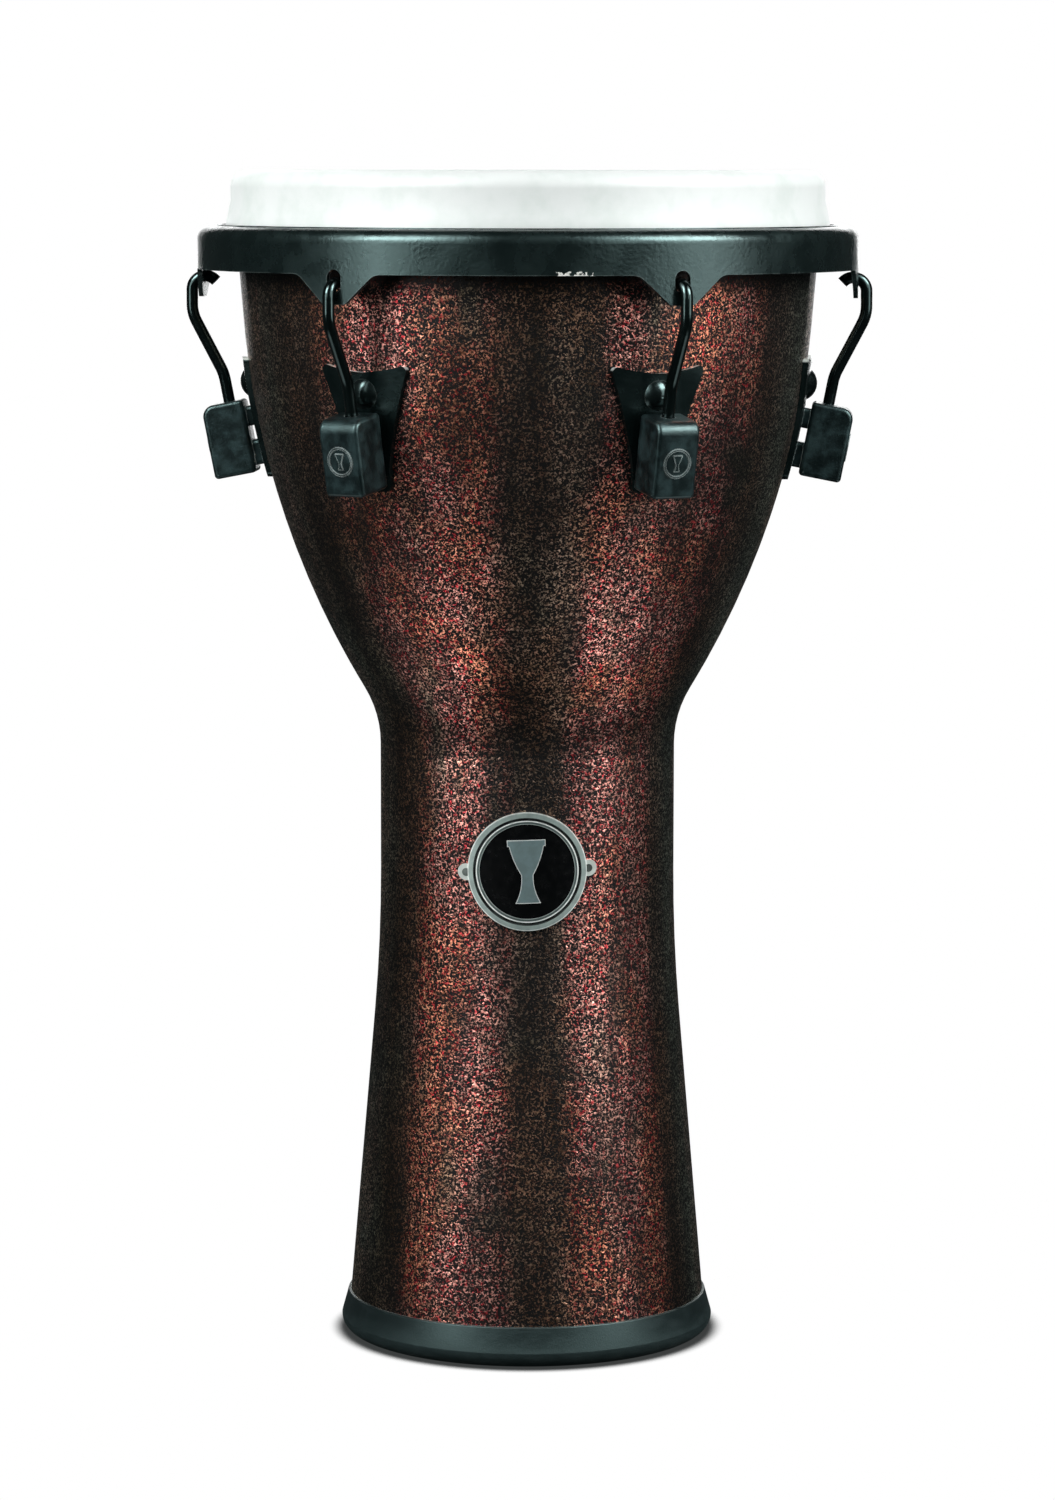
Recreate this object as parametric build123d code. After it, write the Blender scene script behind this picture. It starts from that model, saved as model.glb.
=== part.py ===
"""Goblet hand drum (djembe) with a mechanically tensioned head, 12.5 in across and 25 in tall.

The drum stands on its foot ring at z = 0 with its axis on Z and its badge facing -Y.
A section is drawn with x as the radius and y as the height, then turned about the axis.
Everything at a lug is modelled at the front, where outward is -Y, and then turned into place.
"""

from build123d import *
from math import acos, asin, cos, degrees, radians, sin, tan
import os

# ---- driving dimensions, millimetres and degrees ----
HEIGHT = 635.0
HEAD_DIAMETER = 317.5
LUG_COUNT = 6
LUG_TURN = -3.8  # the lugs stand this far round from being centred on the badge

# shell
WALL = 6.0
SHELL_FOOT_Z = 3.0
LIP_Z = 620.0  # height at which the shell measures HEAD_DIAMETER
LIP_LEAN = 4.8  # outward lean of the top stretch
BOWL_TOP_Z = 555.0  # below this the bowl curves in
BOWL_RADIUS = 460.0
NECK_RADIUS = 80.1
NECK_LOW_Z = 217.3
FLARE_LEAN = 4.94
THROAT_FILLET = 60.0
FLARE_FILLET = 900.0
RIM_THICKNESS = 10.4  # the wall is thicker under the bearing edge
RIM_DEPTH = 24.0
SHELL_RUN_OUT = 30.0  # the outline runs past both ends before it is trimmed

# head
FILM = 0.6
HEAD_CORNER = 9.1
CREST_GAP = 0.1
COLLAR_TOP = (159.95, 619.0)
COLLAR_LOW = (162.8, 604.5)
FILM_END_Z = 597.2

# counter hoop and flesh hoop
HOOP_RADIUS = 178.0
HOOP_SHEET = 2.5
HOOP_TOP_Z = 605.5
HOOP_LOW_Z = 582.4
HOOP_SHOULDER = 7.0
HOOP_LIP_RADIUS = 163.9
HOOP_LIP_WIDTH = 3.6
HOOP_LIP_TOP_Z = 606.1
FLESH_INNER, FLESH_OUTER = 158.9, 167.4
FLESH_HEIGHT = 10.0
FLESH_GROOVE = (161.9, 163.1)
FLESH_FLOOR = 1.2
EAR_HALF_WIDTH = 24.0
EAR_TIP_HALF_WIDTH = 6.6
EAR_TIP_Z = 567.0
EAR_BASE_FILLET = 9.0
EAR_TIP_FILLET = 4.5
SLOT_WIDTH = 8.8
SLOT_TOP_Z = 584.8
SLOT_LOW_Z = 573.8
SEAT_LEAN = 34.0  # the slot's lower edge is dressed to the hook's bend
SEAT_GAP = 0.8  # the hook swings in and out a little as it is drawn down its sloping bore

# tension hook
ROD_RADIUS = 3.15
THREAD_RADIUS = 2.95
ROD_LEAN = 11.0
MID_LEAN = 27.7
HOOK_BEND = 7.3
HOOK_SWEEP = 135.0
HOOK_TAIL = 0.8
HOOK_CENTRE_Z = 570.7
HOOK_CLEARANCE = 1.3
LOW_CORNER_RISE = 15.5
LOW_BEND, HIGH_BEND = 25.0, 20.0
THREAD_TOP, ROD_END = -10.0, -32.0

# lug block, in its own frame: outward is -y, up the rod is +z, top face at z = 0
BLOCK_TOP = (162.5, 510.0)  # rod axis at the block's top face
BLOCK_WIDTH, BLOCK_HEIGHT = 24.0, 40.0
BLOCK_OUT, BLOCK_IN = 14.5, 8.5
BLOCK_BROW, BLOCK_EDGE = 6.5, 2.2
BORE_RADIUS, SOCKET_RADIUS = 3.9, 7.0
SEAT_DEPTH = 16.0
PADS = ((-4.0, -15.0), (-22.5, -36.5))  # top and bottom of each foot
PAD_WIDTH = 14.0
SCREW_HEIGHTS = (-9.5, -29.5)
SCREW_TIPS = (5.2, 7.8)  # how far in from the rod axis each screw stops
MARK_RING = (7.7, 6.6)
MARK_HEIGHT = 8.4
MARK_RELIEF = 0.5
MARK_Z = -21.0

# tuning nut and its washer
NUT_ACROSS, NUT_HEIGHT = 10.0, 8.0
NUT_BORE = 3.0
NUT_GAP = 0.1
TUNING_WASHER = (6.2, 3.2, 1.2)  # outer radius, hole radius, thickness

# side plate
PLATE = 3.0
PLATE_TOP_Z, PLATE_DIP_Z, PLATE_LOW_Z = 536.8, 531.8, 469.6
PLATE_HALF_WIDTH = 28.0
PLATE_WAIST = (17.2, 506.0)
PLATE_TAIL = (10.2, 482.0)

# fasteners through the wall
CARRIAGE_Z = 521.0
CARRIAGE_HEAD = (8.1, 4.2)  # radius, height
CARRIAGE_RADIUS = 3.0
CARRIAGE_WASHER = (8.0, 3.2, 1.2)
CARRIAGE_NUT = (10.0, 5.0)  # across flats, height
CARRIAGE_NUT_BORE = 3.05
CARRIAGE_END = 2.0
SCREW_RADIUS = 2.45
SCREW_HOLE = 2.5
SCREW_HEAD = (4.8, 3.0)
SCREW_WASHER = (6.0, 2.7, 1.0)
WALL_HOLE = 3.3
SPOT_FACE = 0.8  # flat cut into the curved wall under each washer
SPOT_MARGIN = 0.4

# foot ring
FOOT_TOP_Z, FOOT_TOP_RADIUS = 22.0, 98.3
FOOT_LOW_RADIUS, FOOT_LOW_Z = 102.0, 8.6
FOOT_INNER_RADIUS, FOOT_INNER_Z = 88.6, 12.0
FOOT_FILLET = 8.0

# badge
BADGE_Z, BADGE_TILT = 265.4, 2.0
BADGE_RADIUS, BADGE_SHEET = 31.7, 1.2
BADGE_EAR_RADIUS, BADGE_EAR_AT = 4.4, 32.6
BADGE_RINGS = ((31.7, 28.5, 2.2), (27.6, 25.4, 1.9))  # outer, inner, height over the shell
ENAMEL_RADIUS, ENAMEL_TOP = 25.3, 1.5
EMBLEM_HEIGHT, EMBLEM_TOP = 34.0, 2.1
PIN_RADIUS, PIN_HEAD, PIN_HEAD_TOP = 1.1, 2.1, 1.9
PIN_DEPTH = 4.0

REACH = 400.0  # longer than any piece that is cut or extruded through
FRONT_SPAN = 70.0

RIM_RADIUS = HEAD_DIAMETER / 2
BOWL_TOP_RADIUS = RIM_RADIUS - (LIP_Z - BOWL_TOP_Z) * tan(radians(LIP_LEAN))
BOWL_CENTRE = (
    BOWL_TOP_RADIUS - BOWL_RADIUS * cos(radians(LIP_LEAN)),
    BOWL_TOP_Z + BOWL_RADIUS * sin(radians(LIP_LEAN)),
)
LUG_ANGLES = [LUG_TURN + (n + 0.5) * 360 / LUG_COUNT for n in range(LUG_COUNT)]
HOOK_RADIUS = HOOP_RADIUS + HOOK_CLEARANCE + ROD_RADIUS

BOX_MIN = (Align.CENTER, Align.CENTER, Align.MIN)


# ---- helpers ----
def turned(section):
    """The ring that a section makes going once round the axis."""
    return revolve(Plane.XZ * section, Axis.Z, 360)


def block(x0, x1, y0, y1):
    """A rectangle given by its sides."""
    return Pos((x0 + x1) / 2, (y0 + y1) / 2) * Rectangle(x1 - x0, y1 - y0)


def corner(sketch, x, y, radius):
    """Rounds the one corner of a sketch that lies nearest to (x, y)."""
    nearest = min(sketch.vertices(), key=lambda v: (v.X - x) ** 2 + (v.Y - y) ** 2)
    return fillet(nearest, radius)


def bowl_angle(z):
    """Lean of the bowl's outer wall at a height, in degrees from upright."""
    return degrees(asin((BOWL_CENTRE[1] - z) / BOWL_RADIUS))


def outline(extra=0.0):
    """Half section filled to the axis, run out past both ends, that stands extra outside the shell."""
    lip = radians(LIP_LEAN)
    flare = radians(FLARE_LEAN)
    radius = BOWL_RADIUS + extra
    neck = NECK_RADIUS + extra
    throat_lean = acos((neck - BOWL_CENTRE[0]) / radius)
    throat = (neck, BOWL_CENTRE[1] - radius * sin(throat_lean))
    bowl_top = (BOWL_CENTRE[0] + radius * cos(lip), BOWL_CENTRE[1] - radius * sin(lip))
    pull = radius * 4 / 3 * tan((throat_lean - lip) / 4)
    low_pull = (throat[0] + pull * sin(throat_lean), throat[1] + pull * cos(throat_lean))
    high_pull = (bowl_top[0] - pull * sin(lip), bowl_top[1] - pull * cos(lip))
    neck_low = (neck, NECK_LOW_Z + extra * tan(flare / 2))
    low = (neck + (neck_low[1] + SHELL_RUN_OUT) * tan(flare), -SHELL_RUN_OUT)
    high_z = HEIGHT + SHELL_RUN_OUT
    high = (bowl_top[0] + (high_z - bowl_top[1]) * tan(lip), high_z)
    lines = Curve() + [
        Polyline((0, low[1]), low, neck_low, throat),
        Bezier(throat, low_pull, high_pull, bowl_top),
        Polyline(bowl_top, high, (0, high_z), (0, low[1])),
    ]
    face = make_face(lines)
    face = corner(face, *throat, THROAT_FILLET - extra)
    return corner(face, *neck_low, FLARE_FILLET - extra)


OUTLINE = outline()
INSIDE = outline(-WALL)
BODY_OVER_PLATE = turned(outline(PLATE))


def layer(low, high):
    """Section of the layer that follows the shell's outside from one height above it to another."""
    return (outline(high) - outline(low)) & block(0, REACH, 0, HEIGHT)


def forward(sketch):
    """A prism of a sketch seen from the front, reaching out through the front wall only."""
    return extrude(Plane.XZ.offset(NECK_RADIUS / 2) * sketch, REACH / 2, dir=(0, -1, 0))


def front_sector(section):
    """The front part of the ring that a section makes, wide enough for the badge."""
    return Rot(0, 0, -90 - FRONT_SPAN / 2) * revolve(Plane.XZ * section, Axis.Z, FRONT_SPAN)


def wrapped(sketch, low, high):
    """A layer on the shell, cut to the shape of a sketch seen from the front."""
    return front_sector(layer(low, high)) & forward(sketch)


def at_lugs(solid):
    """One copy of a solid at each lug."""
    return [Rot(0, 0, angle) * solid for angle in LUG_ANGLES]


def section_plane(radius, z, lean):
    """Plane at the front whose z axis leans outward from +Z by lean, and whose y axis points inward."""
    return Plane(
        origin=(0, -radius, z),
        x_dir=(1, 0, 0),
        z_dir=(0, -sin(radians(lean)), cos(radians(lean))),
    )


BLOCK_PLANE = section_plane(*BLOCK_TOP, ROD_LEAN)


def inward_plane(depth_at, height):
    """Plane in the block's frame at that depth and height, whose z axis points in through the wall."""
    return BLOCK_PLANE * Plane(origin=(0, depth_at, height), x_dir=(1, 0, 0), z_dir=(0, 1, 0))


def wall_depth(height):
    """How far in from the rod axis the shell's outside lies, at a height in the block's frame."""
    lean = radians(ROD_LEAN)
    depth = BLOCK_IN
    for _ in range(20):
        z = BLOCK_TOP[1] + height * cos(lean) + depth * sin(lean)
        radius = BOWL_CENTRE[0] + BOWL_RADIUS * cos(radians(bowl_angle(z)))
        depth = (BLOCK_TOP[0] + height * sin(lean) - radius) / cos(lean)
    return depth


def carriage_plane():
    """Plane on the shell's outside at the carriage bolt, whose z axis points in through the wall."""
    lean = radians(bowl_angle(CARRIAGE_Z))
    radius = BOWL_CENTRE[0] + BOWL_RADIUS * cos(lean)
    return Plane(origin=(0, -radius, CARRIAGE_Z), x_dir=(1, 0, 0), z_dir=(0, cos(lean), sin(lean)))


WALL_PLANES = [(carriage_plane(), CARRIAGE_WASHER)] + [
    (inward_plane(wall_depth(height), height), SCREW_WASHER) for height in SCREW_HEIGHTS
]


def rod(plane, radius, start, length):
    """A cylinder on a plane's z axis."""
    return plane * Pos(0, 0, start) * Cylinder(radius, length, align=BOX_MIN)


def washer(plane, sizes, start):
    """A washer (outer radius, hole radius, thickness) lying on a plane at a height."""
    outer, hole, thickness = sizes
    return rod(plane, outer, start, thickness) - rod(plane, hole, start, thickness)


def hexagon(plane, across, start, height):
    """A hexagonal prism with its corners chamfered by a cone at both ends."""
    prism = plane * Pos(0, 0, start) * extrude(RegularPolygon(across / 2, 6, major_radius=False), height)
    point = across / 2 / cos(radians(30))
    blank = Cylinder(point, height, align=BOX_MIN)
    turned_off = chamfer(blank.edges().filter_by(GeomType.CIRCLE), point * 0.1)
    return prism & plane * Pos(0, 0, start) * turned_off


def goblet(height):
    """Outline of a goblet drum, centred on the origin."""
    half = height / 2
    head, neck, foot = 0.30 * height, 0.095 * height, 0.20 * height
    rim_z, throat_z = half - 0.1 * height, -0.05 * height
    side = Curve() + [
        Polyline((0, half), (head, half), (head, rim_z), (head * 0.9, rim_z)),
        ThreePointArc((head * 0.9, rim_z), (head * 0.68, 0.5 * (rim_z + throat_z)), (neck, throat_z)),
        ThreePointArc((neck, throat_z), (neck * 1.25, -0.3 * height), (foot, -half)),
        Polyline((foot, -half), (0, -half), (0, half)),
    ]
    face = make_face(side)
    return face + mirror(face, about=Plane.YZ)


def save(name, *solids):
    """Writes one node as a STEP file."""
    found = [s for shape in solids for s in shape.solids()]
    export_step(Compound(children=found), f"parts/{name}.step")


# ---- shell, head and hoops ----
def shell():
    """The goblet body: one moulded wall with a thickened bearing edge, drilled for the hardware."""
    crest_z = HEIGHT - FILM - CREST_GAP
    ends = block(0, REACH, SHELL_FOOT_Z, crest_z)
    wall = (OUTLINE - INSIDE) & ends
    rim_inner = RIM_RADIUS - RIM_THICKNESS
    rim = OUTLINE & block(rim_inner, REACH, crest_z - RIM_DEPTH, crest_z)
    section = wall + rim
    rim_outer = RIM_RADIUS + (crest_z - LIP_Z) * tan(radians(LIP_LEAN))
    section = corner(section, rim_outer, crest_z, HEAD_CORNER - FILM - CREST_GAP)
    section = corner(section, rim_inner, crest_z, 1.2)
    section = corner(section, rim_inner, crest_z - RIM_DEPTH, 3.0)
    body = turned(section)
    for plane, (outer, _, _) in WALL_PLANES:
        hole = rod(plane, WALL_HOLE, -WALL, 3 * WALL)
        hole += rod(plane, outer + SPOT_MARGIN, WALL - SPOT_FACE, WALL)
        for cut in at_lugs(hole):
            body -= cut
    for pin in badge_pins():
        body -= pin
    return body


def head_film():
    """The clear-coated film: a flat top, a rounded edge and a collar that drops into the flesh hoop."""
    points = [
        (0, HEIGHT),
        (COLLAR_TOP[0], HEIGHT),
        COLLAR_TOP,
        COLLAR_LOW,
        (COLLAR_LOW[0], FILM_END_Z - REACH / 10),
        (0, FILM_END_Z - REACH / 10),
    ]
    face = make_face(Polyline(*points, close=True))
    face = corner(face, COLLAR_TOP[0], HEIGHT, HEAD_CORNER)
    whole = face + mirror(face, about=Plane.YZ)
    skin = whole - offset(whole, -FILM, kind=Kind.INTERSECTION)
    return turned(skin & block(0, REACH, FILM_END_Z, HEIGHT))


def flesh_hoop():
    """Channel ring in which the edge of the film is bonded; the counter hoop presses on it."""
    top = HOOP_TOP_Z - HOOP_SHEET
    ring = block(FLESH_INNER, FLESH_OUTER, top - FLESH_HEIGHT, top)
    ring = fillet(ring.vertices(), 0.8)
    return turned(ring - block(*FLESH_GROOVE, top - FLESH_HEIGHT + FLESH_FLOOR, top))


def ear(angle):
    """Downward tab of the counter hoop, with the slot that takes the tension hook."""
    strip = block(-2 * EAR_HALF_WIDTH, 2 * EAR_HALF_WIDTH, HOOP_LOW_Z, HOOP_LOW_Z + 8)
    tab = make_face(
        Polyline(
            (-EAR_HALF_WIDTH, HOOP_LOW_Z),
            (-EAR_TIP_HALF_WIDTH, EAR_TIP_Z),
            (EAR_TIP_HALF_WIDTH, EAR_TIP_Z),
            (EAR_HALF_WIDTH, HOOP_LOW_Z),
            close=True,
        )
    )
    sketch = strip + tab
    for side in (-1, 1):
        sketch = corner(sketch, side * EAR_HALF_WIDTH, HOOP_LOW_Z, EAR_BASE_FILLET)
        sketch = corner(sketch, side * EAR_TIP_HALF_WIDTH, EAR_TIP_Z, EAR_TIP_FILLET)
    band = block(HOOP_RADIUS - HOOP_SHEET, HOOP_RADIUS, EAR_TIP_Z - 1, HOOP_LOW_Z + 9)
    return Rot(0, 0, angle) * (front_sector(band) & forward(sketch))


def slot():
    """Cutter for one hook slot: a round-ended hole with its lower edge sloped under the hook's bend."""
    height = SLOT_TOP_Z - SLOT_LOW_Z
    hole = Pos(0, SLOT_LOW_Z + height / 2) * Rot(0, 0, 90) * SlotOverall(height, SLOT_WIDTH)
    inner = HOOP_RADIUS - 3 * HOOP_SHEET
    cutter = forward(hole) - Cylinder(inner, 4 * REACH)
    across = HOOP_RADIUS - HOOP_SHEET / 2 - (HOOK_RADIUS - HOOK_BEND)
    bend_z = HOOK_CENTRE_Z + (HOOK_BEND**2 - across**2) ** 0.5
    drop = ROD_RADIUS + SEAT_GAP - SLOT_WIDTH / 2
    seat_z = bend_z - drop / cos(radians(SEAT_LEAN))
    seat = section_plane(HOOP_RADIUS - HOOP_SHEET / 2, seat_z, 90 + SEAT_LEAN)
    return cutter + rod(seat, SLOT_WIDTH / 2, -2 * HOOP_SHEET, 4 * HOOP_SHEET)


def counter_hoop():
    """The pressed steel tension ring: an outer band, a shoulder, a flange and six slotted ears."""
    outer = block(HOOP_LIP_RADIUS, HOOP_RADIUS, HOOP_LOW_Z, HOOP_TOP_Z)
    outer = corner(outer, HOOP_RADIUS, HOOP_TOP_Z, HOOP_SHOULDER)
    inner = block(
        HOOP_LIP_RADIUS - 1, HOOP_RADIUS - HOOP_SHEET, HOOP_LOW_Z - 1, HOOP_TOP_Z - HOOP_SHEET
    )
    inner = corner(
        inner, HOOP_RADIUS - HOOP_SHEET, HOOP_TOP_Z - HOOP_SHEET, HOOP_SHOULDER - HOOP_SHEET
    )
    lip = block(
        HOOP_LIP_RADIUS, HOOP_LIP_RADIUS + HOOP_LIP_WIDTH, HOOP_TOP_Z - HOOP_SHEET, HOOP_LIP_TOP_Z
    )
    section = outer - inner + lip
    section = corner(section, HOOP_LIP_RADIUS, HOOP_LIP_TOP_Z, 1.2)
    section = corner(section, HOOP_LIP_RADIUS + HOOP_LIP_WIDTH, HOOP_LIP_TOP_Z, 0.4)
    hoop = turned(section)
    for angle in LUG_ANGLES:
        hoop += ear(angle)
    for cut in at_lugs(slot()):
        hoop -= cut
    return hoop


def foot_ring():
    """Moulded rubber ring that grips the shell's lower edge on both sides."""
    section = make_face(
        Polyline(
            (FOOT_INNER_RADIUS, 0),
            (FOOT_LOW_RADIUS, 0),
            (FOOT_LOW_RADIUS, FOOT_LOW_Z),
            (FOOT_TOP_RADIUS, FOOT_TOP_Z),
            (NECK_RADIUS + 2 * WALL, FOOT_TOP_Z),
            (NECK_RADIUS + 2 * WALL, FOOT_INNER_Z),
            (FOOT_INNER_RADIUS, FOOT_INNER_Z),
            close=True,
        )
    )
    section = corner(section, FOOT_LOW_RADIUS, 0, FOOT_FILLET)
    section = corner(section, FOOT_INNER_RADIUS, 0, 1.5)
    section = corner(section, FOOT_INNER_RADIUS, FOOT_INNER_Z, 1.5)
    section = corner(section, FOOT_TOP_RADIUS, FOOT_TOP_Z, 0.8)
    wall = (OUTLINE - INSIDE) & block(0, REACH, SHELL_FOOT_Z, REACH)
    inside = INSIDE & block(0, REACH, FOOT_INNER_Z, REACH)
    return turned(section - wall - inside)


# ---- lug hardware, modelled once at the front ----
def tension_hook():
    """The bent rod: a hook over the hoop's ear, an offset shank and a threaded lower end."""
    lean = radians(ROD_LEAN)
    base = BLOCK_TOP[0]
    thread_top = (base + THREAD_TOP * sin(lean), BLOCK_TOP[1] + THREAD_TOP * cos(lean))
    low_corner = (base + LOW_CORNER_RISE * tan(lean), BLOCK_TOP[1] + LOW_CORNER_RISE)
    rise = (HOOK_RADIUS - low_corner[0]) / tan(radians(MID_LEAN))
    high_corner = (HOOK_RADIUS, low_corner[1] + rise)
    shank = FilletPolyline(
        thread_top, low_corner, high_corner, (HOOK_RADIUS, HOOK_CENTRE_Z), radius=(LOW_BEND, HIGH_BEND)
    )
    bend = JernArc((HOOK_RADIUS, HOOK_CENTRE_Z), (0, 1), HOOK_BEND, HOOK_SWEEP)
    tail = Line(bend @ 1, bend @ 1 + (bend % 1) * HOOK_TAIL)
    lug_section = Plane(origin=(0, 0, 0), x_dir=(0, -1, 0), z_dir=(-1, 0, 0))
    path = lug_section * (Curve() + [shank, bend, tail])
    wire = Wire(path.edges())
    start = Plane(origin=BLOCK_PLANE.from_local_coords((0, 0, THREAD_TOP)), z_dir=BLOCK_PLANE.z_dir)
    hook = sweep(start * Circle(ROD_RADIUS), path=wire)
    thread = rod(BLOCK_PLANE, THREAD_RADIUS, ROD_END, THREAD_TOP - ROD_END)
    tip = thread.edges().filter_by(GeomType.CIRCLE).sort_by(Axis.Z)[0]
    return hook + chamfer(tip, 0.8)


def lug_block():
    """The cast block: rounded brow, bore for the rod, socket for the wrench and two feet on the plate."""
    side = corner(block(-BLOCK_OUT, BLOCK_IN, -BLOCK_HEIGHT, 0), -BLOCK_OUT, 0, BLOCK_BROW)
    body = extrude(Plane.YZ * side, BLOCK_WIDTH / 2, both=True)
    body = fillet(body.edges(), BLOCK_EDGE)
    body -= Pos(0, 0, -SEAT_DEPTH) * Cylinder(BORE_RADIUS, 2 * SEAT_DEPTH, align=BOX_MIN)
    body -= Pos(0, 0, -SEAT_DEPTH) * Cylinder(
        SOCKET_RADIUS, BLOCK_HEIGHT, align=(Align.CENTER, Align.CENTER, Align.MAX)
    )
    for top, bottom in PADS:
        foot = block(-PAD_WIDTH / 2, PAD_WIDTH / 2, -bottom, -top)
        foot = fillet(foot.vertices(), 2.5)
        back = Plane(origin=(0, BLOCK_IN - 1, 0), x_dir=(1, 0, 0), z_dir=(0, 1, 0))
        body += extrude(back * foot, 3 * PLATE)
    front = Plane(origin=(0, -BLOCK_OUT, MARK_Z), x_dir=(1, 0, 0), z_dir=(0, -1, 0))
    ring_outer, ring_inner = MARK_RING
    mark = Circle(ring_outer) - Circle(ring_inner) + goblet(MARK_HEIGHT)
    body += extrude(front * mark, MARK_RELIEF)
    placed = BLOCK_PLANE * body - BODY_OVER_PLATE
    for height, tip in zip(SCREW_HEIGHTS, SCREW_TIPS):
        placed -= rod(inward_plane(tip, height), SCREW_HOLE, -0.2, 4 * PLATE)
    return placed.solids().sort_by(SortBy.VOLUME)[-1]


def side_plate():
    """Butterfly plate bent to the shell, wide at the top and narrow behind the block."""
    right = Curve() + [
        ThreePointArc(
            (0, PLATE_DIP_Z),
            (PLATE_HALF_WIDTH / 2, PLATE_DIP_Z + 0.3 * (PLATE_TOP_Z - PLATE_DIP_Z)),
            (PLATE_HALF_WIDTH, PLATE_TOP_Z),
        ),
        ThreePointArc((PLATE_HALF_WIDTH, PLATE_TOP_Z), PLATE_WAIST, PLATE_TAIL),
        Polyline(PLATE_TAIL, (PLATE_TAIL[0] - 0.6, PLATE_LOW_Z), (0, PLATE_LOW_Z), (0, PLATE_DIP_Z)),
    ]
    half = make_face(right)
    half = corner(half, PLATE_HALF_WIDTH, PLATE_TOP_Z, 2.6)
    half = corner(half, PLATE_TAIL[0] - 0.6, PLATE_LOW_Z, 4.0)
    plate = wrapped(half + mirror(half, about=Plane.YZ), 0, PLATE)
    for plane, _ in WALL_PLANES:
        plate -= rod(plane, WALL_HOLE, -3 * PLATE, 4 * PLATE)
    return plate


def carriage_bolt():
    """Round-headed bolt that holds the plate's upper end."""
    plane = WALL_PLANES[0][0]
    radius, rise = CARRIAGE_HEAD
    ball = (radius**2 + rise**2) / (2 * rise)
    dome = Pos(0, 0, ball - rise - PLATE) * Sphere(ball)
    dome &= Pos(0, 0, -PLATE) * Cylinder(radius, 2 * rise)
    seat_depth = WALL - SPOT_FACE
    length = seat_depth + CARRIAGE_WASHER[2] + CARRIAGE_NUT[1] + CARRIAGE_END
    shank = rod(plane, CARRIAGE_RADIUS, -PLATE - rise / 3, length + PLATE + rise / 3)
    return (plane * dome - BODY_OVER_PLATE) + shank


def carriage_washer():
    plane, sizes = WALL_PLANES[0]
    return washer(plane, sizes, WALL - SPOT_FACE)


def carriage_nut():
    """Nut on the inner end of the carriage bolt."""
    plane, sizes = WALL_PLANES[0]
    across, height = CARRIAGE_NUT
    start = WALL - SPOT_FACE + sizes[2]
    return hexagon(plane, across, start, height) - rod(plane, CARRIAGE_NUT_BORE, start, height)


def lug_screws():
    """The two screws, driven from inside the shell, that hold one block."""
    found = []
    for (plane, sizes), height, tip in zip(WALL_PLANES[1:], SCREW_HEIGHTS, SCREW_TIPS):
        head_at = WALL - SPOT_FACE + sizes[2]
        shank = rod(plane, SCREW_RADIUS, tip - wall_depth(height), head_at + wall_depth(height) - tip)
        head = Cylinder(*SCREW_HEAD, align=BOX_MIN)
        head = fillet(head.edges().group_by(Axis.Z)[-1], 1.2)
        found.append(shank + plane * Pos(0, 0, head_at) * head)
    return found


def lug_washers():
    return [washer(plane, sizes, WALL - SPOT_FACE) for plane, sizes in WALL_PLANES[1:]]


def tuning_washer():
    return washer(BLOCK_PLANE, TUNING_WASHER, -SEAT_DEPTH - TUNING_WASHER[2])


def tuning_nut():
    """Hexagonal nut in the block's socket; turning it draws the hook down."""
    top = -SEAT_DEPTH - TUNING_WASHER[2] - NUT_GAP
    nut = hexagon(BLOCK_PLANE, NUT_ACROSS, top - NUT_HEIGHT, NUT_HEIGHT)
    return nut - rod(BLOCK_PLANE, NUT_BORE, top - NUT_HEIGHT, NUT_HEIGHT)


# ---- badge ----
def on_badge(sketch):
    """Places a badge sketch, drawn about its own centre, on the front of the neck."""
    return Pos(0, BADGE_Z) * Rot(0, 0, BADGE_TILT) * sketch


def badge_plate():
    """Metal badge bent round the neck: a disc with two ears and two raised rings."""
    base = Circle(BADGE_RADIUS)
    for side in (-1, 1):
        base += Pos(side * BADGE_EAR_AT, 0) * Circle(BADGE_EAR_RADIUS)
    plate = wrapped(on_badge(base), 0, BADGE_SHEET)
    for outer, inner, top in BADGE_RINGS:
        plate += wrapped(on_badge(Circle(outer) - Circle(inner)), BADGE_SHEET / 2, top)
    for pin in badge_pins():
        plate -= pin
    return plate


def badge_enamel():
    """Black enamel field inside the inner ring."""
    return wrapped(on_badge(Circle(ENAMEL_RADIUS)), BADGE_SHEET, ENAMEL_TOP)


def badge_emblem():
    """Raised goblet-drum emblem on the enamel."""
    return wrapped(on_badge(goblet(EMBLEM_HEIGHT)), ENAMEL_TOP, EMBLEM_TOP)


def badge_pins():
    """The two drive pins through the badge's ears."""
    found = []
    for side in (-1, 1):
        spot = Pos(side * BADGE_EAR_AT, 0)
        shank = wrapped(on_badge(spot * Circle(PIN_RADIUS)), -PIN_DEPTH, BADGE_SHEET)
        head = wrapped(on_badge(spot * Circle(PIN_HEAD)), BADGE_SHEET, PIN_HEAD_TOP)
        found.append(shank + head)
    return found


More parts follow.
